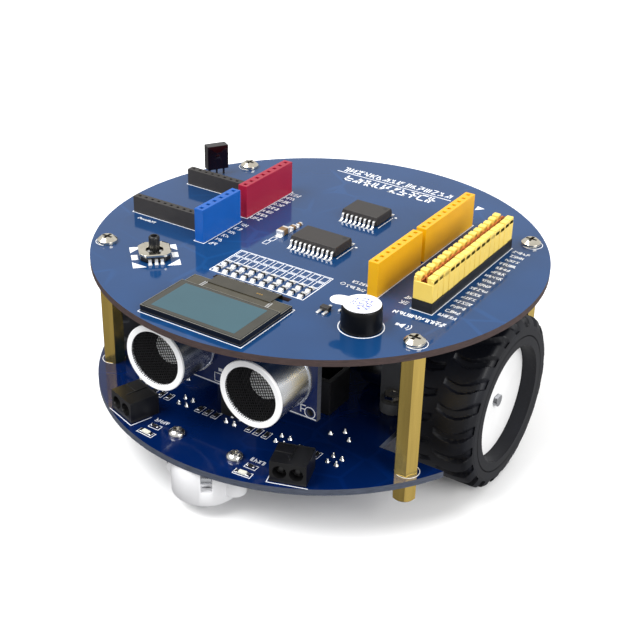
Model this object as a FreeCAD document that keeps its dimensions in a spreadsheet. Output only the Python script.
import FreeCAD, Part
import os

import Sketcher
from FreeCAD import Placement, Rotation, Vector

# Line follower robot: two round circuit boards on brass spacers, with two driven wheels, a ball
# caster, a distance sensor, line and obstacle sensors, and an upper board that carries a small
# display, a joystick, sockets and jumpers.
# Millimetres. The ground is z = 0, +Z is up, the front of the robot faces -Y, and x = 0 is the
# middle of the boards.

os.makedirs("parts", exist_ok=True)
doc = FreeCAD.newDocument("line_follower_robot")
sheet = doc.addObject("Spreadsheet::Sheet", "Sizes")

VALUES = {
    # boards and spacers
    "board_radius": 55.0,
    "board_thick": 1.6,
    "lower_top": 15.0,
    "deck_gap": 31.0,
    "spacer_x": 42.0,
    "spacer_y": 29.2,
    "spacer_flats": 5.0,
    "spacer_bore": 1.5,
    "spacer_bore_depth": 8.0,
    "foot_length": 5.3,
    "foot_bore": 1.25,
    "foot_bore_depth": 4.0,
    "stud_radius": 1.45,
    "stud_length": 6.0,
    "board_hole": 1.6,
    "notch_inner": 32.6,
    "notch_half": 24.7,
    # screws
    "deck_head_radius": 2.4,
    "deck_head_height": 1.5,
    "deck_shank_length": 8.0,
    "small_head_radius": 1.95,
    "small_head_height": 1.4,
    "small_shank_radius": 0.95,
    "small_shank_length": 6.0,
    "small_hole": 1.05,
    "nut_flats": 4.0,
    "nut_height": 1.5,
    "recess_width": 0.7,
    # ball caster
    "caster_y": -46.8,
    "caster_radius": 8.0,
    "caster_low": 3.2,
    "ear_radius": 2.7,
    "ear_x": 8.2,
    "ear_low": 6.0,
    "ball_radius": 6.0,
    "ball_gap": 0.3,
    "roller_radius": 1.2,
    "roller_half": 1.8,
    "roller_pin_radius": 0.5,
    "roller_pin_half": 2.6,
    "roller_reach": 5.94,
    "roller_rise": 4.16,
    "window_width": 2.6,
    # wheels and gearmotors
    "axle_height": 21.0,
    "tyre_inner": 34.0,
    "tyre_outer": 53.0,
    "tyre_radius": 21.0,
    "tyre_shoulder": 19.2,
    "tyre_bore": 14.4,
    "shoulder_width": 1.8,
    "lug_length": 7.0,
    "lug_slot": 2.4,
    "lug_depth": 1.2,
    "lug_count": 22,
    "rim_inner": 35.0,
    "rim_wall": 1.0,
    "disc_face": 49.4,
    "disc_thick": 1.5,
    "hub_radius": 3.8,
    "hub_inner": 41.0,
    "shaft_radius": 1.5,
    "shaft_flat": 1.0,
    "shaft_tip": 50.3,
    "fit_gap": 0.02,
    "running_gap": 0.05,
    "gearbox_front": 40.0,
    "gearbox_length": 9.0,
    "plate_thick": 0.9,
    "motor_width": 12.0,
    "motor_height": 10.0,
    "motor_length": 15.0,
    "bracket_inner": 22.5,
    "bracket_outer": 32.0,
    "bracket_wall": 1.2,
    "bracket_floor": 1.0,
    "bracket_ear": 9.4,
    "bracket_ear_radius": 3.1,
    "bracket_ear_height": 3.0,
    # battery holder and switch
    "holder_length": 58.0,
    "holder_width": 31.4,
    "holder_height": 14.6,
    "holder_y": 29.8,
    "bay_length": 51.6,
    "bay_radius": 7.1,
    "bay_pitch": 15.2,
    "switch_y": 49.6,
    "switch_length": 8.6,
    "switch_depth": 4.2,
    "switch_height": 4.6,
    "lever_width": 1.6,
    "lever_travel": 2.0,
    # sensors under and on the lower board
    "trim_x": 23.2,
    "trim_y": -25.4,
    "trim_side": 6.6,
    "trim_height": 4.8,
    "trim_rotor": 2.0,
    "line_pitch": 14.0,
    "line_y": -36.2,
    "line_length": 6.4,
    "line_width": 4.9,
    "line_height": 3.8,
    "led_x": 24.0,
    "led_y": 34.0,
    "led_side": 5.0,
    "led_height": 1.6,
    "eye_x": 23.4,
    "eye_y": -48.3,
    "eye_turn": 18.0,
    "eye_width": 8.4,
    "eye_depth": 7.7,
    "eye_height": 5.3,
    "eye_window": 1.6,
    "eye_pitch": 3.8,
    # distance sensor
    "sonar_face": -35.7,
    "sonar_width": 45.0,
    "sonar_height": 20.0,
    "sonar_low": 23.9,
    "sonar_axis": 33.9,
    "can_x": 13.1,
    "can_radius": 7.95,
    "can_bore": 7.0,
    "can_mouth": 6.6,
    "can_lip": 0.85,
    "can_length": 12.0,
    "flange_radius": 8.3,
    "flange_thick": 0.9,
    "mesh_inset": 0.9,
    "mesh_thick": 0.3,
    # display, sockets and jumpers
    "pin_pitch": 2.54,
    "socket_height": 8.5,
    "socket_x": 24.13,
    "socket_hole": 0.9,
    "socket_hole_depth": 6.0,
    "radio_x": -37.9,
    "radio_y": 11.0,
    "radio_length": 20.8,
    "radio_width": 2.1,
    "radio_height": 4.3,
    "radio_pitch": 2.0,
    "jumper_x": 36.55,
    "jumper_y": 4.0,
    "jumper_rows": 16,
    "pin_side": 0.64,
    "cap_height": 5.96,
    "cap_gap": 0.06,
    "display_width": 26.7,
    "display_depth": 19.26,
    "display_y": -41.8,
    "display_strip": 4.6,
    "display_gap": 0.4,
    "glass_thick": 0.62,
    "flex_width": 17.0,
    "flex_thick": 0.2,
    "flex_slot_y": -28.7,
    "flex_slot_width": 1.6,
    "flex_slot_length": 20.8,
    # joystick, buzzer, receiver, chips
    "stick_x": -27.8,
    "stick_y": -28.8,
    "stick_side": 7.6,
    "stick_height": 2.1,
    "stick_cavity": 3.1,
    "stick_pivot": 1.02,
    "stick_top": 5.3,
    "stick_radius": 1.25,
    "buzzer_x": 29.3,
    "buzzer_y": -29.7,
    "buzzer_radius": 4.6,
    "buzzer_height": 5.5,
    "seal_radius": 4.15,
    "seal_thick": 0.12,
    "receiver_x": -46.2,
    "receiver_y": 19.8,
    "receiver_width": 5.8,
    "receiver_depth": 2.6,
    "receiver_low": 1.9,
    "receiver_height": 6.6,
    "chip_pitch": 1.27,
    "chip_width": 7.5,
    "chip_span": 10.3,
    "chip_low": 0.2,
    "chip_height": 2.35,
    # shrouded headers for the cable between the two boards
    "link_width": 33.0,
    "link_depth": 8.9,
    "link_height": 9.0,
    "link_lower_y": -16.0,
    "link_upper_y": 6.0,
    "link_wall": 1.2,
    "link_floor": 2.0,
}

for row, (alias, value) in enumerate(VALUES.items(), start=1):
    sheet.set("A%d" % row, alias)
    sheet.set("B%d" % row, str(value))
    sheet.setAlias("B%d" % row, alias)
doc.recompute()


class Size:
    """A number together with the spreadsheet expression that gives it."""

    def __init__(self, value, text):
        self.value = value
        self.text = text

    def __add__(self, other):
        return Size(self.value + number(other), "(%s + %s)" % (self.text, wording(other)))

    def __radd__(self, other):
        return self + other

    def __sub__(self, other):
        return Size(self.value - number(other), "(%s - %s)" % (self.text, wording(other)))

    def __rsub__(self, other):
        return Size(number(other) - self.value, "(%s - %s)" % (wording(other), self.text))

    def __mul__(self, other):
        return Size(self.value * number(other), "(%s * %s)" % (self.text, wording(other)))

    def __rmul__(self, other):
        return self * other

    def __truediv__(self, other):
        return Size(self.value / number(other), "(%s / %s)" % (self.text, wording(other)))

    def __neg__(self):
        return self * -1


class Names:
    """Gives each spreadsheet alias as an attribute."""

    def __getattr__(self, alias):
        return Size(float(VALUES[alias]), "Sizes." + alias)


def number(size):
    return size.value if isinstance(size, Size) else float(size)


def wording(size):
    return size.text if isinstance(size, Size) else "%.6f" % size


S = Names()
LOWER_TOP = S.lower_top
LOWER_BASE = S.lower_top - S.board_thick
UPPER_BASE = S.lower_top + S.deck_gap
UPPER_TOP = UPPER_BASE + S.board_thick
CORNERS = [(1, 1), (-1, 1), (-1, -1), (1, -1)]
SIDES = [("right", 1), ("left", -1)]
TURNS = {
    "Z": Rotation(),
    "-Z": Rotation(Vector(1, 0, 0), 180),
    "X": Rotation(Vector(0, 1, 0), 90),
    "Y": Rotation(Vector(1, 0, 0), -90),
    "-Y": Rotation(Vector(1, 0, 0), 90),
}


# --- helpers -------------------------------------------------------------------------------------

def bind(item, path, size):
    """Set a property, through the spreadsheet where the size comes from it."""
    if isinstance(size, Size):
        item.setExpression(path, size.text)
    else:
        setattr(item, path, size)


def put(item, x=0.0, y=0.0, z=0.0, rotation=Rotation()):
    """Place an object and tie its position to the spreadsheet."""
    item.Placement = Placement(Vector(number(x), number(y), number(z)), rotation)
    for axis, coordinate in zip("xyz", (x, y, z)):
        if isinstance(coordinate, Size):
            item.setExpression("Placement.Base." + axis, coordinate.text)
    return item


def about_z(angle):
    return Rotation(Vector(0, 0, 1), angle)


def block(name, x, y, low, length, width, height):
    """A box centred on x, y that stands on the height low."""
    item = doc.addObject("Part::Box", name)
    bind(item, "Length", length)
    bind(item, "Width", width)
    bind(item, "Height", height)
    return put(item, x - length / 2, y - width / 2, low)


def rod(name, x, y, z, radius, height, axis="Z"):
    """A cylinder that starts at x, y, z and runs along axis."""
    item = doc.addObject("Part::Cylinder", name)
    bind(item, "Radius", radius)
    bind(item, "Height", height)
    return put(item, x, y, z, TURNS[axis])


def cone(name, x, y, z, start, end, height, axis="Z"):
    """A cone that starts at x, y, z with radius start and runs along axis."""
    item = doc.addObject("Part::Cone", name)
    bind(item, "Radius1", start)
    bind(item, "Radius2", end)
    bind(item, "Height", height)
    return put(item, x, y, z, TURNS[axis])


def ball(name, x, y, z, radius):
    item = doc.addObject("Part::Sphere", name)
    bind(item, "Radius", radius)
    return put(item, x, y, z)


def hexagon(name, x, y, z, flats, height, angle=30):
    """A hexagonal bar: angle 30 puts two corners along Y, angle 0 puts them along X."""
    item = doc.addObject("Part::Prism", name)
    item.Polygon = 6
    bind(item, "Circumradius", flats * 0.5773503)
    bind(item, "Height", height)
    return put(item, x, y, z, about_z(angle))


def fuse(name, items):
    item = doc.addObject("Part::MultiFuse", name)
    item.Shapes = items
    return item


def common(name, items):
    item = doc.addObject("Part::MultiCommon", name)
    item.Shapes = items
    return item


def group(name, items):
    item = doc.addObject("Part::Compound", name)
    item.Links = items
    return item


def cut(name, base, tools):
    item = doc.addObject("Part::Cut", name)
    item.Base = base
    item.Tool = tools[0] if len(tools) == 1 else group(name + "_tools", tools)
    return item


def origin_of(part, role):
    return next(item for item in part.Origin.OriginFeatures if item.Role == role)


def sketch(part, name, role, offset=0.0):
    """A sketch on one of the body's own origin planes, moved along the plane's normal."""
    item = part.newObject("Sketcher::SketchObject", name)
    item.AttachmentSupport = (origin_of(part, role), [""])
    item.MapMode = "FlatFace"
    item.AttachmentOffset = Placement(Vector(0, 0, number(offset)), Rotation())
    if isinstance(offset, Size):
        item.setExpression("AttachmentOffset.Base.z", offset.text)
    return item


def hold(item, geometry, point, x, y):
    """Tie one point of a sketch to its coordinates."""
    for kind, coordinate, axis in (("DistanceX", x, -2), ("DistanceY", y, -1)):
        if number(coordinate) == 0.0:
            item.addConstraint(Sketcher.Constraint("PointOnObject", geometry, point, axis))
            continue
        rule = Sketcher.Constraint(kind, -1, 1, geometry, point, number(coordinate))
        index = item.addConstraint(rule)
        if isinstance(coordinate, Size):
            item.setExpression("Constraints[%d]" % index, coordinate.text)


def circle(item, x, y, radius):
    shape = Part.Circle(Vector(number(x), number(y), 0), Vector(0, 0, 1), number(radius))
    geometry = item.addGeometry(shape, False)
    if number(x) == 0.0 and number(y) == 0.0:
        item.addConstraint(Sketcher.Constraint("Coincident", geometry, 3, -1, 1))
    else:
        hold(item, geometry, 3, x, y)
    index = item.addConstraint(Sketcher.Constraint("Radius", geometry, number(radius)))
    if isinstance(radius, Size):
        item.setExpression("Constraints[%d]" % index, radius.text)


def outline(item, points):
    """A closed outline of straight lines through the points."""
    first = item.GeometryCount
    count = len(points)
    vectors = [Vector(number(x), number(y), 0) for x, y in points]
    for index in range(count):
        line = Part.LineSegment(vectors[index], vectors[(index + 1) % count])
        item.addGeometry(line, False)
    for index in range(count):
        after = first + (index + 1) % count
        item.addConstraint(Sketcher.Constraint("Coincident", first + index, 2, after, 1))
        hold(item, first + index, 1, *points[index])


def rectangle(item, x, y, length, width):
    left, right = x - length / 2, x + length / 2
    near, far = y - width / 2, y + width / 2
    outline(item, [(left, near), (right, near), (right, far), (left, far)])


def extrude(part, kind, profile, length, reverse=False):
    item = part.newObject("PartDesign::" + kind, profile.Name + "_" + kind.lower())
    item.Profile = profile
    bind(item, "Length", length)
    item.Reversed = reverse
    profile.Visibility = False
    return item


def turn(part, kind, profile, axis):
    item = part.newObject("PartDesign::" + kind, profile.Name + "_" + kind.lower())
    item.Profile = profile
    item.ReferenceAxis = (profile, [axis])
    item.Angle = 360
    profile.Visibility = False
    return item


def turned(name, points, axis):
    """A body turned from an outline: axis H is the body's X, axis V is its Z."""
    part = doc.addObject("PartDesign::Body", name)
    profile = sketch(part, name + "_profile", "XZ_Plane")
    outline(profile, points)
    turn(part, "Revolution", profile, axis)
    return part


def pattern(part, kind, feature, role, count, length=None):
    """Repeat a feature round or along one of the body's origin axes."""
    item = part.newObject("PartDesign::" + kind, feature.Name + "_pattern")
    item.Originals = [feature]
    if kind == "PolarPattern":
        item.Axis = (origin_of(part, role), [""])
        item.Angle = 360
    else:
        item.Direction = (origin_of(part, role), [""])
        bind(item, "Length", length)
    bind(item, "Occurrences", count)
    part.Tip = item
    return item


NODES = {}


def node(item, label):
    """Register a finished sub-part under its own label."""
    item.Label = label
    NODES[label] = item
    return item


# --- boards and spacers --------------------------------------------------------------------------

def board(name, low):
    """A round board with the four spacer holes; further holes are added by the caller."""
    part = doc.addObject("PartDesign::Body", name)
    profile = sketch(part, name + "_disc", "XY_Plane")
    circle(profile, 0.0, 0.0, S.board_radius)
    extrude(part, "Pad", profile, S.board_thick)
    holes = sketch(part, name + "_holes", "XY_Plane")
    for side_x, side_y in CORNERS:
        circle(holes, S.spacer_x * side_x, S.spacer_y * side_y, S.board_hole)
    extrude(part, "Pocket", holes, S.board_thick, reverse=True)
    put(part, 0.0, 0.0, low)
    return part


lower = board("lower_board", LOWER_BASE)
notches = sketch(lower, "wheel_notches", "XY_Plane")
notch_middle = (S.notch_inner + S.board_radius + 5) / 2
for side in (1, -1):
    rectangle(notches, notch_middle * side, 0.0, S.board_radius + 5 - S.notch_inner, S.notch_half * 2)
extrude(lower, "Pocket", notches, S.board_thick, reverse=True)
small_holes = sketch(lower, "small_screw_holes", "XY_Plane")
for side in (1, -1):
    circle(small_holes, S.ear_x * side, S.caster_y, S.small_hole)
    for ear in (1, -1):
        middle = (S.bracket_inner + S.bracket_outer) / 2
        circle(small_holes, middle * side, S.bracket_ear * ear, S.small_hole)
extrude(lower, "Pocket", small_holes, S.board_thick, reverse=True)
node(lower, "lower_board")

upper = board("upper_board", UPPER_BASE)
slot = sketch(upper, "flex_slot", "XY_Plane")
rectangle(slot, 0.0, S.flex_slot_y, S.flex_slot_length, S.flex_slot_width)
extrude(upper, "Pocket", slot, S.board_thick, reverse=True)
node(upper, "upper_board")


def spacer(name, x, y, angle):
    bar = hexagon(name + "_bar", x, y, LOWER_TOP, S.spacer_flats, S.deck_gap, angle)
    low = rod(name + "_low_bore", x, y, LOWER_TOP, S.spacer_bore, S.spacer_bore_depth)
    high_start = UPPER_BASE - S.spacer_bore_depth
    high = rod(name + "_high_bore", x, y, high_start, S.spacer_bore, S.spacer_bore_depth)
    return cut(name, bar, [low, high])


def foot(name, x, y, angle):
    low = LOWER_BASE - S.foot_length
    bar = hexagon(name + "_bar", x, y, low, S.spacer_flats, S.foot_length, angle)
    tip_height = S.foot_length
    tip = cone(name + "_tip", x, y, low, 2.45, 7.75, tip_height)
    chamfered = common(name + "_chamfered", [bar, tip])
    stud = rod(name + "_stud", x, y, LOWER_BASE, S.stud_radius, S.board_thick + S.stud_length)
    solid = fuse(name + "_solid", [chamfered, stud])
    bore = rod(name + "_bore", x, y, low, S.foot_bore, S.foot_bore_depth)
    return cut(name, solid, [bore])


def screw(name, x, y, seat, head_radius, head_height, shank_radius, shank_length, upright=True):
    """A pan head screw with a cross recess, seated on the height seat."""
    way = 1 if upright else -1
    axis = "Z" if upright else "-Z"
    back = "-Z" if upright else "Z"
    rim = rod(name + "_rim", x, y, seat, head_radius, head_height * 0.5, axis)
    crown_start = seat + head_height * 0.5 * way
    crown = cone(name + "_crown", x, y, crown_start, head_radius, head_radius * 0.62,
                 head_height * 0.5, axis)
    shank = rod(name + "_shank", x, y, seat, shank_radius, shank_length, back)
    solid = fuse(name + "_solid", [rim, crown, shank])
    depth = head_height * 0.6
    floor = seat + (head_height - depth) * way
    low = floor if upright else floor - depth
    arm = head_radius * 1.15
    across = block(name + "_across", x, y, low, arm, S.recess_width, depth)
    along = block(name + "_along", x, y, low, S.recess_width, arm, depth)
    return cut(name, solid, [across, along])


# the spacers are screwed down as they come, so each one stands at its own angle
SPACER_TURNS = [20, 8, 14, 0]
spacers, feet, deck_screws = [], [], []
for number_of, (side_x, side_y) in enumerate(CORNERS, start=1):
    x, y = S.spacer_x * side_x, S.spacer_y * side_y
    angle = SPACER_TURNS[number_of - 1]
    spacers.append(spacer("spacer_%d" % number_of, x, y, angle))
    feet.append(foot("foot_%d" % number_of, x, y, angle))
    deck_screws.append(screw("deck_screw_%d" % number_of, x, y, UPPER_TOP, S.deck_head_radius,
                             S.deck_head_height, S.stud_radius, S.deck_shank_length))
node(group("spacer_group", spacers), "standoffs")
node(group("foot_group", feet), "foot_spacers")
node(group("deck_screw_group", deck_screws), "deck_screws")

small = (S.small_head_radius, S.small_head_height, S.small_shank_radius, S.small_shank_length)
small_screws = []
for side in (1, -1):
    tag = "r" if side == 1 else "l"
    small_screws.append(screw("caster_screw_" + tag, S.ear_x * side, S.caster_y, LOWER_TOP, *small))
    for ear in (1, -1):
        middle = (S.bracket_inner + S.bracket_outer) / 2
        name = "bracket_screw_%s_%s" % (tag, "rear" if ear == 1 else "front")
        small_screws.append(screw(name, middle * side, S.bracket_ear * ear, LOWER_BASE, *small,
                                  upright=False))
node(group("small_screw_group", small_screws), "small_screws")

nuts = []
for index, (side_x, side_y) in enumerate(CORNERS):
    x = (S.bracket_inner + S.bracket_outer) / 2 * side_x
    y = S.bracket_ear * side_y
    seat = LOWER_TOP + S.bracket_ear_height
    bar = hexagon("nut_bar_%d" % index, x, y, seat, S.nut_flats, S.nut_height, 0)
    bore = rod("nut_bore_%d" % index, x, y, seat, S.small_shank_radius + S.running_gap, 2.0)
    nuts.append(cut("nut_%d" % index, bar, [bore]))
node(group("nut_group", nuts), "bracket_nuts")


# --- ball caster ---------------------------------------------------------------------------------

ROLLERS = [("front", 38), ("rear", 158), ("side", 278)]
housing_height = LOWER_BASE - S.caster_low
drum = rod("caster_drum", 0.0, 0.0, S.caster_low, S.caster_radius, housing_height)
bottom_ring = cone("caster_taper", 0.0, 0.0, S.caster_low, S.caster_radius - 0.9,
                   S.caster_radius + 14.0, 14.9)
drum = common("caster_drum_tapered", [drum, bottom_ring])
ears = [rod("caster_ear_%d" % (side + 1), S.ear_x * side, 0.0, S.ear_low, S.ear_radius,
            LOWER_BASE - S.ear_low) for side in (1, -1)]
hollows = [ball("ball_seat", 0.0, 0.0, S.ball_radius, S.ball_radius + S.ball_gap)]
for side in (1, -1):
    hollows.append(rod("ear_bore_%d" % (side + 1), S.ear_x * side, 0.0, LOWER_BASE - 5.5,
                       S.small_shank_radius + S.running_gap, 5.5))
roller_z = S.ball_radius + S.roller_rise
for tag, angle in ROLLERS:
    pocket_radius = S.roller_radius + S.ball_gap
    pocket = rod("roller_pocket_" + tag, -S.roller_half - 0.2, -S.roller_reach, roller_z,
                 pocket_radius, S.roller_half * 2 + 0.4, "X")
    bore = rod("roller_bore_" + tag, -S.roller_pin_half - 0.1, -S.roller_reach, roller_z,
               S.roller_pin_radius + S.running_gap, S.roller_pin_half * 2 + 0.2, "X")
    window = block("roller_window_" + tag, 0.0, -S.roller_reach - 2, roller_z - 2.4,
                   S.window_width, 4.0, 5.2)
    cluster = group("roller_hollow_" + tag, [pocket, bore, window])
    hollows.append(put(cluster, rotation=about_z(angle)))
caster = cut("caster_shell", fuse("caster_solid", [drum] + ears), hollows)
node(put(caster, 0.0, S.caster_y, 0.0), "caster_housing")
node(ball("ball", 0.0, S.caster_y, S.ball_radius, S.ball_radius), "caster_ball")
for tag, angle in ROLLERS:
    drum = rod("roller_drum_" + tag, -S.roller_half, -S.roller_reach, roller_z, S.roller_radius,
               S.roller_half * 2, "X")
    pin = rod("roller_pin_" + tag, -S.roller_pin_half, -S.roller_reach, roller_z,
              S.roller_pin_radius, S.roller_pin_half * 2, "X")
    roller = fuse("roller_" + tag, [drum, pin])
    node(put(roller, 0.0, S.caster_y, 0.0, about_z(angle)), "caster_roller_" + tag)


# --- wheels and gearmotors -----------------------------------------------------------------------
# Each side is drawn for the right wheel, with x measured outwards from the middle of the robot,
# and the left side is the same part turned half round.

GEARBOX_BACK = S.gearbox_front - S.gearbox_length
MOTOR_BACK = GEARBOX_BACK - S.motor_length
BRACKET_MIDDLE = (S.bracket_inner + S.bracket_outer) / 2
BRACKET_LENGTH = S.bracket_outer - S.bracket_inner


def tyre(name):
    part = doc.addObject("PartDesign::Body", name)
    profile = sketch(part, name + "_section", "XZ_Plane")
    inner, outer = S.tyre_inner, S.tyre_outer
    outline(profile, [
        (inner, S.tyre_bore),
        (outer, S.tyre_bore),
        (outer, S.tyre_shoulder),
        (outer - S.shoulder_width, S.tyre_radius),
        (inner + S.shoulder_width, S.tyre_radius),
        (inner, S.tyre_shoulder),
    ])
    turn(part, "Revolution", profile, "H_Axis")
    slots = sketch(part, name + "_slots", "XY_Plane", S.tyre_radius - S.lug_depth)
    rectangle(slots, inner + S.lug_length / 2 - 0.5, 0.0, S.lug_length + 1.0, S.lug_slot)
    rectangle(slots, outer - S.lug_length / 2 + 0.5, 0.0, S.lug_length + 1.0, S.lug_slot)
    pocket = extrude(part, "Pocket", slots, S.lug_depth * 2, reverse=True)
    pattern(part, "PolarPattern", pocket, "X_Axis", S.lug_count)
    return part


def wheel_disc(name):
    bore = S.shaft_radius + S.fit_gap
    barrel = S.tyre_bore - S.fit_gap
    part = turned(name, [
        (S.hub_inner, bore),
        (S.disc_face, bore),
        (S.disc_face, barrel),
        (S.rim_inner, barrel),
        (S.rim_inner, barrel - S.rim_wall),
        (S.disc_face - S.disc_thick, barrel - S.rim_wall),
        (S.disc_face - S.disc_thick, S.hub_radius),
        (S.hub_inner, S.hub_radius),
    ], "H_Axis")
    key = sketch(part, name + "_key", "YZ_Plane", S.hub_inner)
    key_low = S.shaft_flat + S.fit_gap
    rectangle(key, 0.0, (key_low + 2.2) / 2, 3.0, 2.2 - key_low)
    extrude(part, "Pad", key, S.disc_face - S.hub_inner)
    return part


def output_shaft(name):
    length = S.shaft_tip - GEARBOX_BACK - S.plate_thick
    start = GEARBOX_BACK + S.plate_thick + 0.1
    bar = rod(name + "_bar", start, 0.0, 0.0, S.shaft_radius, length - 0.1, "X")
    gear = rod(name + "_gear", S.gearbox_front - 3.6, 0.0, 0.0, 3.9, 2.0, "X")
    flat_start = S.gearbox_front + 0.6
    flat_length = S.shaft_tip - flat_start + 1
    flat = block(name + "_flat", flat_start + flat_length / 2, 0.0, S.shaft_flat, flat_length,
                 4.0, 2.0)
    return cut(name, fuse(name + "_solid", [bar, gear]), [flat])


def gearbox(name):
    front_start = S.gearbox_front - S.plate_thick
    plates = [
        block(name + "_front", front_start + S.plate_thick / 2, 0.0, -S.motor_height / 2,
              S.plate_thick, S.motor_width, S.motor_height),
        block(name + "_back", GEARBOX_BACK + S.plate_thick / 2, 0.0, -S.motor_height / 2,
              S.plate_thick, S.motor_width, S.motor_height),
    ]
    posts = [rod("%s_post_%d" % (name, index), GEARBOX_BACK, 4.9 * side_y, 3.9 * side_z, 0.9,
                 S.gearbox_length, "X") for index, (side_y, side_z) in enumerate(CORNERS)]
    bore = rod(name + "_bore", front_start - 0.1, 0.0, 0.0, S.shaft_radius + S.running_gap, 1.2, "X")
    return cut(name, fuse(name + "_solid", plates + posts), [bore])


def motor(name):
    drum = rod(name + "_drum", MOTOR_BACK, 0.0, 0.0, S.motor_width / 2, S.motor_length, "X")
    flats = block(name + "_flats", MOTOR_BACK + S.motor_length / 2, 0.0, -S.motor_height / 2,
                  S.motor_length, S.motor_width, S.motor_height)
    can = common(name + "_can", [drum, flats])
    boss = rod(name + "_boss", MOTOR_BACK - 1.0, 0.0, 0.0, 2.4, 1.5, "X")
    tabs = [block("%s_tab_%d" % (name, index), MOTOR_BACK - 0.6, 3.6 * side, -0.8, 1.8, 0.4, 1.6)
            for index, side in enumerate((1, -1))]
    return fuse(name, [can, boss] + tabs)


def bracket(name):
    """The saddle that holds a gearmotor down on the lower board."""
    base = LOWER_TOP - S.axle_height
    room = S.motor_height / 2 + S.fit_gap
    wall_width = S.motor_width + S.bracket_wall * 2 + S.fit_gap * 2
    saddle = block(name + "_saddle", BRACKET_MIDDLE, 0.0, base, BRACKET_LENGTH, wall_width,
                   room + S.bracket_wall - base)
    ears = []
    holes = []
    for index, side in enumerate((1, -1)):
        ears.append(rod("%s_ear_%d" % (name, index), BRACKET_MIDDLE, S.bracket_ear * side, base,
                        S.bracket_ear_radius, S.bracket_ear_height))
        holes.append(rod("%s_hole_%d" % (name, index), BRACKET_MIDDLE, S.bracket_ear * side,
                         base - 0.1, S.small_shank_radius + S.running_gap, 4.0))
    web = block(name + "_web", BRACKET_MIDDLE, 0.0, base, S.bracket_ear_radius * 2,
                S.bracket_ear * 2, S.bracket_ear_height)
    tunnel = block(name + "_tunnel", BRACKET_MIDDLE, 0.0, -room, BRACKET_LENGTH + 1.0,
                   S.motor_width + S.fit_gap * 2, room * 2)
    return cut(name, fuse(name + "_solid", [saddle, web] + ears), [tunnel] + holes)


for tag, side in SIDES:
    turned_side = about_z(0 if side == 1 else 180)
    for build, label in ((tyre, "tyre"), (wheel_disc, "wheel_disc"), (output_shaft, "output_shaft"),
                         (gearbox, "gearbox"), (motor, "motor"), (bracket, "motor_bracket")):
        item = build("%s_%s_shape" % (label, tag))
        put(item, 0.0, 0.0, S.axle_height, turned_side)
        node(item, "%s_%s" % (label, tag))


# --- battery holder and switch -------------------------------------------------------------------

holder_block = block("holder_block", 0.0, S.holder_y, LOWER_TOP, S.holder_length, S.holder_width,
                     S.holder_height)
bays = []
for tag, side in (("rear", 1), ("front", -1)):
    y = S.holder_y + S.bay_pitch / 2 * side
    axis_z = LOWER_TOP + S.bay_radius + 1.4
    start = -S.bay_length / 2
    bays.append(rod("bay_round_" + tag, start, y, axis_z, S.bay_radius, S.bay_length, "X"))
    bays.append(block("bay_mouth_" + tag, 0.0, y, axis_z, S.bay_length, S.bay_radius * 2, 12.0))
finger = block("finger_notch", 0.0, S.holder_y, LOWER_TOP + 9.5, 16.0, S.holder_width + 2, 12.0)
node(cut("holder", holder_block, bays + [finger]), "battery_holder")

contacts = []
for index, (side_x, side_y) in enumerate(CORNERS):
    y = S.holder_y + S.bay_pitch / 2 * side_y
    plate_x = (S.bay_length / 2 - 0.25) * side_x
    name = "contact_%d" % index
    plate = block(name + "_plate", plate_x, y, LOWER_TOP + 3.4, 0.4, 8.0, 10.0)
    centre_z = LOWER_TOP + S.bay_radius + 1.4
    if side_x == side_y:
        tip = cone(name + "_button", plate_x, y, centre_z, 2.2, 1.6, 0.8, "X")
        tip.Placement.Rotation = Rotation(Vector(0, 1, 0), -90 * side_x)
    else:
        tip = cone(name + "_spring", plate_x, y, centre_z, 3.6, 2.0, 3.2, "X")
        tip.Placement.Rotation = Rotation(Vector(0, 1, 0), -90 * side_x)
    contacts.append(fuse(name, [plate, tip]))
node(group("contact_group", contacts), "battery_contacts")

switch_block = block("switch_block", 0.0, S.switch_y, LOWER_TOP, S.switch_length, S.switch_depth,
                     S.switch_height)
lever_low = LOWER_TOP + 1.5
slot_length = S.lever_width + S.lever_travel + 0.4
switch_slot = block("switch_slot", 0.0, S.switch_y + 1.1, lever_low - 0.2, slot_length, 3.0, 2.0)
node(cut("switch_case", switch_block, [switch_slot]), "power_switch")
lever_x = -S.lever_travel / 2
lever_arm = block("lever_arm", lever_x, S.switch_y + 2.75, lever_low, S.lever_width, 4.5, 1.6)
node(lever_arm, "power_switch_slider")


# --- sensors on the lower board ------------------------------------------------------------------

trimmers = []
trim_low = LOWER_BASE - S.trim_height
for tag, side in SIDES:
    case = block("trimmer_case_" + tag, S.trim_x * side, S.trim_y, trim_low, S.trim_side,
                 S.trim_side, S.trim_height)
    well = rod("trimmer_well_" + tag, S.trim_x * side, S.trim_y, trim_low, S.trim_rotor + 0.05, 2.0)
    trimmers.append(cut("trimmer_" + tag, case, [well]))
    disc = rod("rotor_disc_" + tag, S.trim_x * side, S.trim_y, trim_low + 0.1, S.trim_rotor, 1.8)
    driver_slot = block("rotor_slot_" + tag, S.trim_x * side, S.trim_y, trim_low, 3.0, 0.6, 0.9)
    node(cut("rotor_" + tag, disc, [driver_slot]), "trimmer_rotor_" + tag)
node(group("trimmer_group", trimmers), "trimmers")

line_sensors = []
for index in range(5):
    x = S.line_pitch * (index - 2)
    low = LOWER_BASE - S.line_height
    case = block("line_case_%d" % index, x, S.line_y, low, S.line_length, S.line_width,
                 S.line_height)
    eyes = [rod("line_eye_%d_%s" % (index, tag), x + 1.5 * side, S.line_y, low, 1.2, 1.2)
            for tag, side in SIDES]
    line_sensors.append(cut("line_sensor_%d" % index, case, eyes))
node(group("line_sensor_group", line_sensors), "line_sensors")

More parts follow.
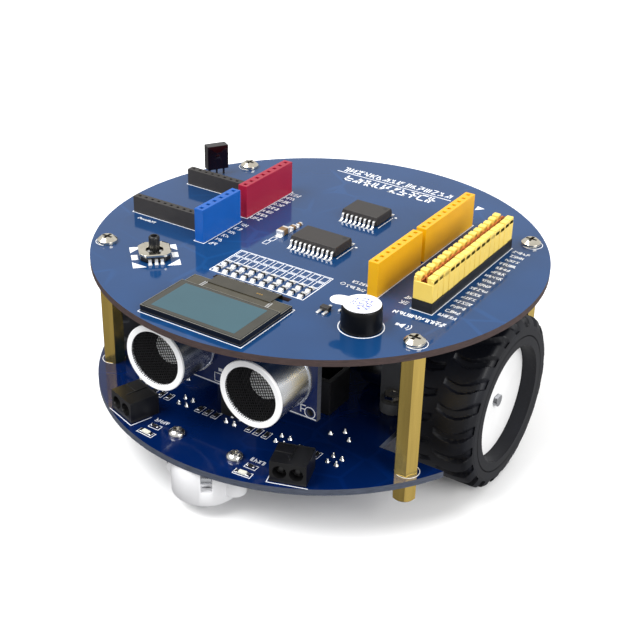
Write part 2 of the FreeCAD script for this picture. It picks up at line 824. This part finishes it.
leds = []
for index, (side_x, side_y) in enumerate(CORNERS):
    x, y = S.led_x * side_x, (S.led_y if side_y == 1 else S.led_y - 50.5) * 1.0
    low = LOWER_BASE - S.led_height
    case = block("led_case_%d" % index, x, y, low, S.led_side, S.led_side, S.led_height)
    lens = cone("led_lens_%d" % index, x, y, low, 2.0, 1.6, 0.5)
    leds.append(cut("led_%d" % index, case, [lens]))
node(group("led_group", leds), "rgb_leds")


def proximity_sensor(name):
    """A reflective sensor with two round windows; its front face is at local y = 0."""
    case = block(name + "_case", 0.0, S.eye_depth / 2, 0.0, S.eye_width, S.eye_depth, S.eye_height)
    step = block(name + "_step", 0.0, S.eye_depth * 0.62, S.eye_height - 0.35, 0.5,
                 S.eye_depth * 0.5, 1.0)
    windows = [rod("%s_window_%s" % (name, tag), S.eye_pitch / 2 * side, -0.1, S.eye_height * 0.52,
                   S.eye_window, 2.1, "Y") for tag, side in SIDES]
    domes = [ball("%s_dome_%s" % (name, tag), S.eye_pitch / 2 * side, 2.2, S.eye_height * 0.52, 1.3)
             for tag, side in SIDES]
    return fuse(name, [cut(name + "_hollow", case, windows + [step])] + domes)


for tag, side in SIDES:
    sensor = proximity_sensor("eye_" + tag)
    put(sensor, S.eye_x * side, S.eye_y, LOWER_TOP, about_z(number(S.eye_turn) * side))
    node(sensor, "proximity_sensor_" + tag)


# --- distance sensor -----------------------------------------------------------------------------

sonar_back = S.sonar_face + S.board_thick
sonar_card = block("sonar_card", 0.0, S.sonar_face + S.board_thick / 2, S.sonar_low, S.sonar_width,
                   S.board_thick, S.sonar_height)
card_holes = [rod("sonar_hole_%d" % index, (S.sonar_width / 2 - 1.8) * side_x, S.sonar_face,
                  S.sonar_axis + (S.sonar_height / 2 - 1.8) * side_y, 0.9, S.board_thick, "Y")
              for index, (side_x, side_y) in enumerate(CORNERS)]
node(cut("sonar_board_shape", sonar_card, card_holes), "sonar_board")

for tag, side, label in (("right", 1, "sonar_receiver"), ("left", -1, "sonar_transmitter")):
    part = doc.addObject("PartDesign::Body", label + "_shape")
    profile = sketch(part, label + "_section", "YZ_Plane")
    outline(profile, [
        (0.0, 0.0),
        (0.0, S.flange_radius),
        (-S.flange_thick, S.flange_radius),
        (-S.flange_thick, S.can_radius),
        (-S.can_length, S.can_radius),
        (-S.can_length, S.can_mouth),
        (S.can_lip - S.can_length, S.can_mouth),
        (S.can_lip - S.can_length, S.can_bore),
        (-S.can_length + 6.4, S.can_bore),
        (-S.can_length + 6.4, 3.9),
        (-S.can_length + 5.2, 3.6),
        (-S.can_length + 6.0, 0.0),
    ])
    turn(part, "Revolution", profile, "H_Axis")
    put(part, S.can_x * side, S.sonar_face, S.sonar_axis)
    node(part, label)
mesh_start = S.sonar_face - S.can_length + S.mesh_inset
meshes = [rod("mesh_" + tag, S.can_x * side, mesh_start, S.sonar_axis, S.can_bore - S.fit_gap,
              S.mesh_thick, "Y") for tag, side in SIDES]
node(group("mesh_group", meshes), "sonar_meshes")

HEADER_Y = sonar_back + S.pin_pitch / 2
header_row = [block("sonar_row", 0.0, HEADER_Y, S.sonar_low + 0.6, S.pin_pitch * 4, S.pin_pitch,
                    S.pin_pitch)]
pin_low = S.sonar_low - 5.4
for index in range(4):
    x = S.pin_pitch * (index - 1.5)
    header_row.append(block("sonar_pin_%d" % index, x, HEADER_Y, pin_low, S.pin_side, S.pin_side,
                            S.sonar_low + 4.0 - pin_low))
node(fuse("sonar_header_shape", header_row), "sonar_header")


def socket(name, pins, pitch, width, height, hole, depth, length=None):
    """A row of square pin sockets along the local Y axis, standing on z = 0."""
    part = doc.addObject("PartDesign::Body", name)
    base = sketch(part, name + "_base", "XY_Plane")
    rectangle(base, 0.0, 0.0, width, pitch * pins if length is None else length)
    extrude(part, "Pad", base, height)
    mouth = sketch(part, name + "_mouth", "XY_Plane", height)
    rectangle(mouth, 0.0, pitch * (-(pins - 1) / 2), hole, hole)
    pocket = extrude(part, "Pocket", mouth, depth)
    pattern(part, "LinearPattern", pocket, "Y_Axis", pins, pitch * (pins - 1))
    return part


def pin_socket(name, pins):
    return socket(name, pins, S.pin_pitch, S.pin_pitch, S.socket_height, S.socket_hole,
                  S.socket_hole_depth)


sonar_socket = pin_socket("sonar_socket_shape", 4)
node(put(sonar_socket, 0.0, HEADER_Y, LOWER_TOP, about_z(90)), "sonar_socket")


# --- sockets and jumpers on the upper board ------------------------------------------------------

digital = [
    put(pin_socket("digital_front", 8), S.socket_x, -6.41, UPPER_TOP),
    put(pin_socket("digital_rear", 10), S.socket_x, 17.974, UPPER_TOP),
]
node(group("digital_group", digital), "sockets_digital")
node(put(pin_socket("analog", 6), -S.socket_x, -8.95, UPPER_TOP), "socket_analog")
node(put(pin_socket("power", 8), -S.socket_x, 11.37, UPPER_TOP), "socket_power")

radio = []
for tag, side in (("rear", 1), ("front", -1)):
    row = socket("radio_" + tag, 10, S.radio_pitch, S.radio_width, S.radio_height, 0.7, 3.0,
                 S.radio_length)
    radio.append(put(row, S.radio_x, S.radio_y * side, UPPER_TOP, about_z(90)))
node(group("radio_group", radio), "radio_sockets")

jumper_length = S.pin_pitch * S.jumper_rows
jumper_base = block("jumper_base", S.jumper_x, S.jumper_y, UPPER_TOP, S.pin_pitch * 2,
                    jumper_length, S.pin_pitch)
cap_low = UPPER_TOP + S.pin_pitch
posts, caps, cap_hollows = [], [], []
for index in range(VALUES["jumper_rows"]):
    y = S.jumper_y + S.pin_pitch * (index - (VALUES["jumper_rows"] - 1) / 2)
    caps.append(block("cap_%d" % index, S.jumper_x, y, cap_low, S.pin_pitch * 2 - S.cap_gap,
                      S.pin_pitch - S.cap_gap, S.cap_height))
    cap_hollows.append(block("cap_channel_%d" % index, S.jumper_x, y, cap_low + S.cap_height - 2.2,
                             1.5, S.pin_pitch, 3.0))
    cap_hollows.append(block("cap_notch_%d" % index, S.jumper_x, y - S.pin_pitch / 2,
                             cap_low + S.cap_height - 1.4, S.pin_pitch * 3, 0.9, 3.0))
    for tag, side in SIDES:
        x = S.jumper_x + S.pin_pitch / 2 * side
        posts.append(block("jumper_pin_%d_%s" % (index, tag), x, y, UPPER_TOP, S.pin_side,
                           S.pin_side, S.pin_pitch + 5.2))
        cap_hollows.append(block("cap_hole_%d_%s" % (index, tag), x, y, cap_low, S.pin_side + 0.1,
                                 S.pin_side + 0.1, 5.4))
node(fuse("jumper_header_shape", [jumper_base] + posts), "jumper_header")
node(cut("jumper_cap_shapes", group("jumper_cap_blocks", caps), cap_hollows), "jumper_caps")


# --- display -------------------------------------------------------------------------------------

display_rear = S.display_y + S.display_depth / 2
lower_glass = block("lower_glass", 0.0, S.display_y, UPPER_TOP, S.display_width, S.display_depth,
                    S.display_gap + S.glass_thick)
cover_depth = S.display_depth - S.display_strip
cover_y = S.display_y - S.display_strip / 2
cover_glass = block("cover_glass", 0.0, cover_y, UPPER_TOP + S.display_gap + S.glass_thick,
                    S.display_width, cover_depth, S.glass_thick)
node(fuse("display_shape", [lower_glass, cover_glass]), "oled_panel")

flex = doc.addObject("PartDesign::Body", "flex_shape")
flex_profile = sketch(flex, "flex_section", "YZ_Plane", -S.flex_width / 2)
flex_top = S.display_gap + S.glass_thick + S.flex_thick
flex_start = S.display_y + S.display_depth / 2 - 1.6
flex_bend = S.flex_slot_y - 0.9
inside = S.flex_slot_y - 0.1
outside = S.flex_slot_y + 0.1
outline(flex_profile, [
    (flex_start, flex_top - S.flex_thick),
    (flex_bend, flex_top - S.flex_thick),
    (flex_bend + 0.55, flex_top - 0.45),
    (inside, flex_top - 1.0),
    (inside, -S.board_thick - 0.4),
    (outside, -S.board_thick - 0.4),
    (outside, flex_top - 0.95),
    (flex_bend + 0.7, flex_top - 0.28),
    (flex_bend, flex_top),
    (flex_start, flex_top),
])
extrude(flex, "Pad", flex_profile, S.flex_width)
node(put(flex, 0.0, 0.0, UPPER_TOP), "oled_flex")


# --- joystick, buzzer and receiver ---------------------------------------------------------------
# The joystick is drawn square to its own axes and turned an eighth of a turn on the board.

def corner_cut(name, base, side, height, chamfer):
    """Trim the four upright corners of a square block centred on the origin."""
    reach = side * 1.41421356 - chamfer * 1.41421356
    square = block(name + "_diamond", 0.0, 0.0, -0.5, reach, reach, height + 1.0)
    turned_square = group(name + "_diamond_turned", [square])
    return common(name, [base, put(turned_square, rotation=about_z(45))])


EIGHTH = about_z(45)
stick_case = block("stick_case", 0.0, 0.0, 0.0, S.stick_side, S.stick_side, S.stick_height)
stick_case = corner_cut("stick_case_cut", stick_case, S.stick_side, S.stick_height, 1.5)
cavity = rod("stick_cavity_space", 0.0, 0.0, 0.2, S.stick_cavity, S.stick_height - 0.45)
mouth = rod("stick_mouth", 0.0, 0.0, 1.0, 2.1, 3.0)
pivot_bore = rod("stick_pivot_bore", -3.6, 0.0, S.stick_pivot, 0.25, 7.2, "X")
stick_base = cut("stick_base_shape", stick_case, [cavity, mouth, pivot_bore])
node(put(stick_base, S.stick_x, S.stick_y, UPPER_TOP, EIGHTH), "joystick_base")

ring_outer = rod("yoke_outer", 0.0, 0.0, S.stick_pivot - 0.3, 2.75, 0.6)
yoke_pins = rod("yoke_pins", -3.5, 0.0, S.stick_pivot, 0.2, 7.0, "X")
ring_inner = rod("yoke_inner", 0.0, 0.0, 0.0, 2.2, 3.0)
rocker_bore = rod("yoke_bore", 0.0, -2.7, S.stick_pivot, 0.2, 5.4, "Y")
yoke = cut("yoke_shape", fuse("yoke_solid", [ring_outer, yoke_pins]), [ring_inner, rocker_bore])
node(put(yoke, S.stick_x, S.stick_y, UPPER_TOP, EIGHTH), "joystick_yoke")

rocker_disc = rod("rocker_disc", 0.0, 0.0, S.stick_pivot - 0.3, 1.9, 0.6)
rocker_pins = rod("rocker_pins", 0.0, -2.6, S.stick_pivot, 0.15, 5.2, "Y")
stem_bore = rod("rocker_stem_bore", 0.0, 0.0, 0.0, 0.8, 3.0)
rocker = cut("rocker_shape", fuse("rocker_solid", [rocker_disc, rocker_pins]), [stem_bore])
node(put(rocker, S.stick_x, S.stick_y, UPPER_TOP, EIGHTH), "joystick_rocker")

shoulder = S.stick_pivot + 0.65
stem = turned("stem_shape", [
    (0.0, S.stick_pivot - 0.4),
    (0.75, S.stick_pivot - 0.4),
    (0.75, shoulder),
    (S.stick_radius, shoulder),
    (S.stick_radius, S.stick_top - 0.3),
    (S.stick_radius - 0.2, S.stick_top),
    (0.75, S.stick_top),
    (0.75, S.stick_top - 0.9),
    (0.0, S.stick_top - 0.9),
], "V_Axis")
node(put(stem, S.stick_x, S.stick_y, UPPER_TOP, EIGHTH), "joystick_stem")

buzzer = turned("buzzer_shape", [
    (0.0, 0.0),
    (S.buzzer_radius, 0.0),
    (S.buzzer_radius - 0.22, S.buzzer_height - 0.25),
    (S.buzzer_radius - 0.42, S.buzzer_height),
    (1.0, S.buzzer_height),
    (1.0, S.buzzer_height - 1.5),
    (0.0, S.buzzer_height - 1.5),
], "V_Axis")
node(put(buzzer, S.buzzer_x, S.buzzer_y, UPPER_TOP), "buzzer")
seal_disc = rod("seal_disc", 0.0, 0.0, 0.0, S.seal_radius, S.seal_thick)
seal_tab = block("seal_tab", -3.5, 0.0, 0.0, 3.2, 4.0, S.seal_thick)
seal_end = rod("seal_tab_end", -5.1, 0.0, 0.0, 2.0, S.seal_thick)
seal = fuse("seal_shape", [seal_disc, seal_tab, seal_end])
node(put(seal, S.buzzer_x, S.buzzer_y, UPPER_TOP + S.buzzer_height, about_z(13)), "buzzer_seal")

receiver_case = block("receiver_case", 0.0, 0.0, S.receiver_low, S.receiver_width,
                      S.receiver_depth, S.receiver_height)
receiver_lens = ball("receiver_lens", 0.0, 0.6, S.receiver_low + 3.6, 2.0)
leads = [block("receiver_lead_%d" % index, 2.0 * (index - 1), 0.0, 0.0, 0.45, 0.4,
               S.receiver_low + 0.5) for index in range(3)]
receiver = fuse("receiver_shape", [receiver_case, receiver_lens] + leads)
node(put(receiver, S.receiver_x, S.receiver_y, UPPER_TOP, about_z(58)), "ir_receiver")


# --- chips and small parts -----------------------------------------------------------------------

def chip(name, x, y, length, pins):
    """A two-row chip: body, and gull wing leads along both long sides."""
    items = [block(name + "_body", x, y, UPPER_TOP + S.chip_low, length, S.chip_width,
                   S.chip_height)]
    for index in range(pins // 2):
        lead_x = x + S.chip_pitch * (index - (pins // 2 - 1) / 2)
        for tag, side in SIDES:
            name_of = "%s_lead_%d_%s" % (name, index, tag)
            arm_y = y + (S.chip_width / 2 + 0.3) * side
            foot_y = y + (S.chip_span / 2 - 0.45) * side
            riser_y = y + (S.chip_width / 2 + 0.5) * side
            items.append(block(name_of + "_arm", lead_x, arm_y, UPPER_TOP + 1.45, 0.5, 0.8, 0.25))
            items.append(block(name_of + "_riser", lead_x, riser_y, UPPER_TOP, 0.5, 0.25, 1.7))
            items.append(block(name_of + "_foot", lead_x, foot_y, UPPER_TOP, 0.5, 0.9, 0.25))
    return fuse(name, items)


chips = [
    chip("chip_front", 1.0, -1.45, 12.8, 20),
    chip("chip_rear", 1.5, 19.1, 10.3, 16),
]
node(group("chip_group", chips), "logic_chips")

small_parts = []
for row in range(2):
    for column in range(10):
        x = -11.7 + 2.6 * column
        y = -25.6 + 3.0 * row
        small_parts.append(block("resistor_%d_%d" % (row, column), x, y, UPPER_TOP, 0.8, 1.6, 0.45))
small_parts.append(block("capacitor_large", -10.3, -1.1, UPPER_TOP, 1.6, 3.2, 1.2))
small_parts.append(block("capacitor_small", -9.4, 2.5, UPPER_TOP, 1.25, 2.0, 0.9))
small_parts.append(block("capacitor_rear", -8.2, 4.7, UPPER_TOP, 0.8, 1.6, 0.6))
small_parts.append(block("transistor", 19.2, -28.0, UPPER_TOP, 2.9, 1.3, 1.1))
for tag, side in (("left", -14.3), ("right", 13.1)):
    small_parts.append(block("lamp_" + tag, side, -50.5, LOWER_TOP, 1.6, 0.8, 0.6))
node(group("small_part_group", small_parts), "smd_parts")


# --- headers for the cable between the boards ----------------------------------------------------

def link_header(name, y, low, opening_low):
    """A shrouded header on one of the boards, open away from its board."""
    case = block(name + "_case", 0.0, y, low, S.link_width, S.link_depth, S.link_height)
    room = block(name + "_room", 0.0, y, opening_low, S.link_width - S.link_wall * 2,
                 S.link_depth - S.link_wall * 2, S.link_height - S.link_floor)
    return cut(name, case, [room])


headers = [
    link_header("link_lower", S.link_lower_y, LOWER_TOP, LOWER_TOP + S.link_floor),
    link_header("link_upper", S.link_upper_y, UPPER_BASE - S.link_height,
                UPPER_BASE - S.link_height),
]
node(group("link_header_group", headers), "link_headers")


# --- check and export ----------------------------------------------------------------------------

doc.recompute()
for item in doc.Objects:
    if "Invalid" in item.State or "Error" in item.State:
        raise RuntimeError("%s did not compute: %s" % (item.Label, item.State))
for label, item in NODES.items():
    shape = item.Shape
    if shape.isNull() or not shape.isValid() or not shape.Solids:
        raise RuntimeError("%s has no valid solid" % label)
for label, item in NODES.items():
    item.Shape.exportStep("parts/%s.step" % label)
print("nodes: %d" % len(NODES))
